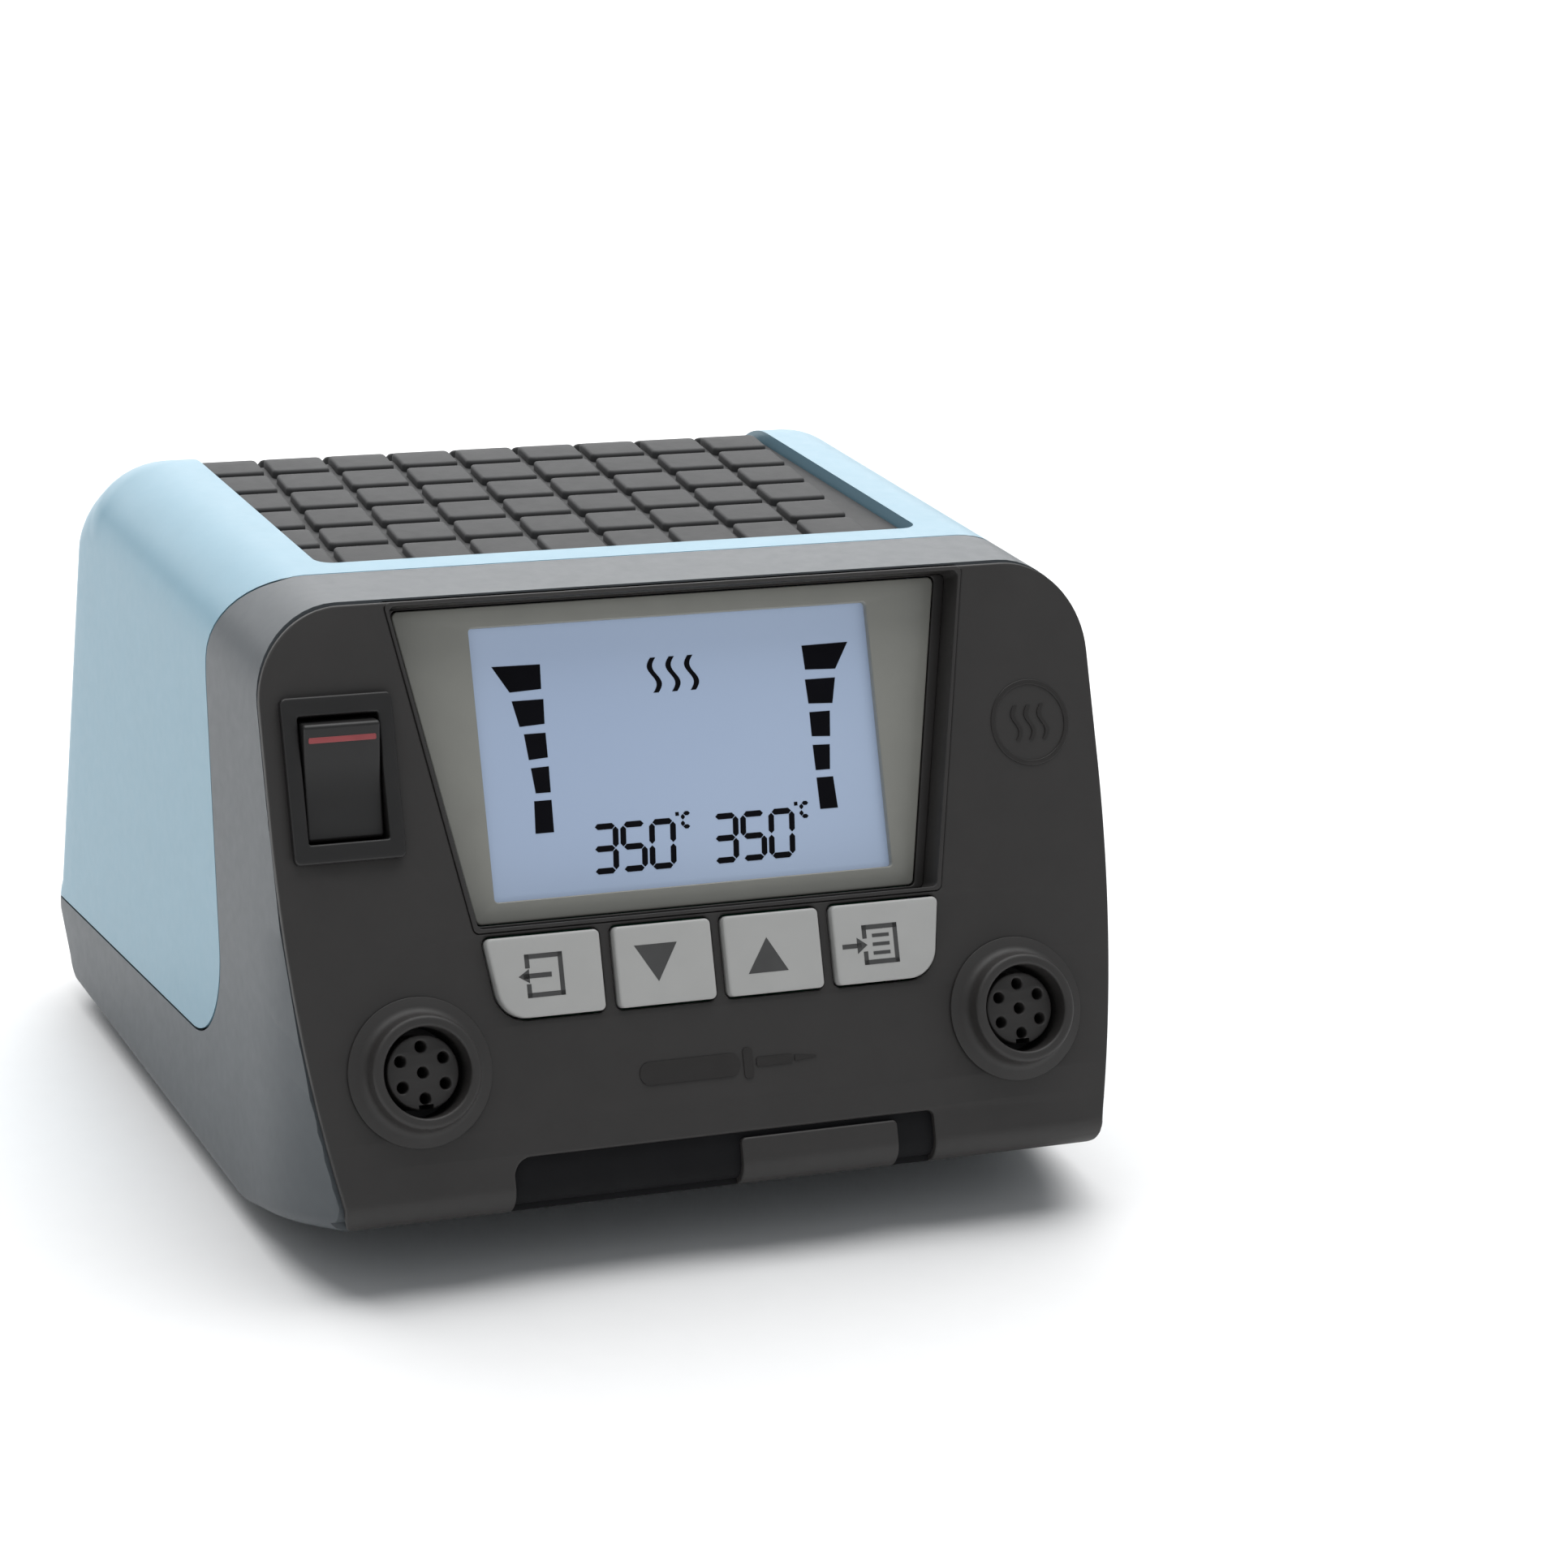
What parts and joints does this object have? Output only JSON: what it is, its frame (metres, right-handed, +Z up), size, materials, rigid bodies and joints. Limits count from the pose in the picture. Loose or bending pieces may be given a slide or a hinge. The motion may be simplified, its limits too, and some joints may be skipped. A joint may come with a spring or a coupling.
{
  "type": "soldering iron station",
  "caption": "Bench control unit for two soldering tools, with a leaning display face, menu keys, mains rocker, tool sockets and a non-slip top.",
  "frame": {"origin": "centre of the bounding box's footprint, at the table", "axes": "+Z up, -Y towards the person at the operating face, +X to that person's right"},
  "size_m": [0.141, 0.149, 0.101],
  "materials": {
    "housing": "satin dark grey painted die casting",
    "cover": "satin pale blue moulding",
    "panel": "near-black moulding with a fine grain",
    "rubber": "dark grey rubber",
    "bezel": "warm grey translucent moulding",
    "lcd": "periwinkle backlit display glass",
    "key": "light grey keycap",
    "black": "black moulding",
    "board": "green solder mask",
    "steel": "zinc plated steel",
    "brass": "plain brass",
    "aluminium": "extruded aluminium",
    "winding": "taped copper winding on an iron core",
    "white": "white plastic",
    "ribbon": "grey flat cable",
    "brown": "brown wire sleeve",
    "blue": "blue wire sleeve"
  },
  "bodies": {
    "station": {"anti_slip_mat": "rubber", "base_screw_left_front": "steel", "base_screw_left_rear": "steel", "base_screw_right_front": "steel", "base_screw_right_rear": "steel", "bonding_socket": "brass", "capacitor_front": "black", "capacitor_rear": "black", "control_board": "board", "controller_chip": "black", "cover_screw_left": "steel", "cover_screw_right": "steel", "display_bezel": "bezel", "foot_left_front": "rubber", "foot_left_rear": "rubber", "foot_right_front": "rubber", "foot_right_rear": "rubber", "front_panel": "panel", "heat_sink": "aluminium", "inlet_pin_earth": "steel", "inlet_pin_live": "steel", "inlet_pin_neutral": "steel", "lcd_backlight": "white", "lcd_glass": "lcd", "lower_housing": "housing", "mains_inlet": "black", "mains_wire_live": "brown", "mains_wire_neutral": "blue", "power_board": "board", "rear_panel": "panel", "ribbon_cable": "ribbon", "rocker_frame": "black", "socket_collar_left": "black", "socket_collar_right": "black", "socket_insert_left": "panel", "socket_insert_right": "panel", "socket_nut_left": "steel", "socket_nut_right": "steel", "tact_switch_down": "black", "tact_switch_exit": "black", "tact_switch_menu": "black", "tact_switch_up": "black", "terminal_block": "housing", "top_cover": "cover", "transformer_bolt": "steel", "transformer_pad_lower": "rubber", "transformer_pad_upper": "rubber", "transformer_washer": "steel", "transformer_winding": "winding", "triac_left": "black", "triac_right": "black"},
    "rocker": {"power_rocker": "black", "rocker_marker": "key"},
    "exit_button": {"key_exit": "key"},
    "down_button": {"key_down": "key"},
    "up_button": {"key_up": "key"},
    "menu_button": {"key_menu": "key"},
    "fuse_holder": {"fuse_drawer": "black", "fuse_link": "white"}
  },
  "joints": [
    {"name": "rocker_tilt", "type": "hinge", "parent": "station", "child": "rocker", "pos_m": [-0.0587, -0.04805, 0.07592], "axis": [1, 0, 0], "range_deg": [-22, 0]},
    {"name": "key_exit_press", "type": "slide", "parent": "station", "child": "exit_button", "axis": [0, 0.9239, -0.3827], "range_m": [0, 0.0008], "stiffness_N_per_m": 300},
    {"name": "key_down_press", "type": "slide", "parent": "station", "child": "down_button", "axis": [0, 0.9239, -0.3827], "range_m": [0, 0.0008], "stiffness_N_per_m": 300},
    {"name": "key_up_press", "type": "slide", "parent": "station", "child": "up_button", "axis": [0, 0.9239, -0.3827], "range_m": [0, 0.0008], "stiffness_N_per_m": 300},
    {"name": "key_menu_press", "type": "slide", "parent": "station", "child": "menu_button", "axis": [0, 0.9239, -0.3827], "range_m": [0, 0.0008], "stiffness_N_per_m": 300},
    {"name": "fuse_drawer_slide", "type": "slide", "parent": "station", "child": "fuse_holder", "axis": [0, 0.9903, 0.1392], "range_m": [0, 0.018]}
  ]
}
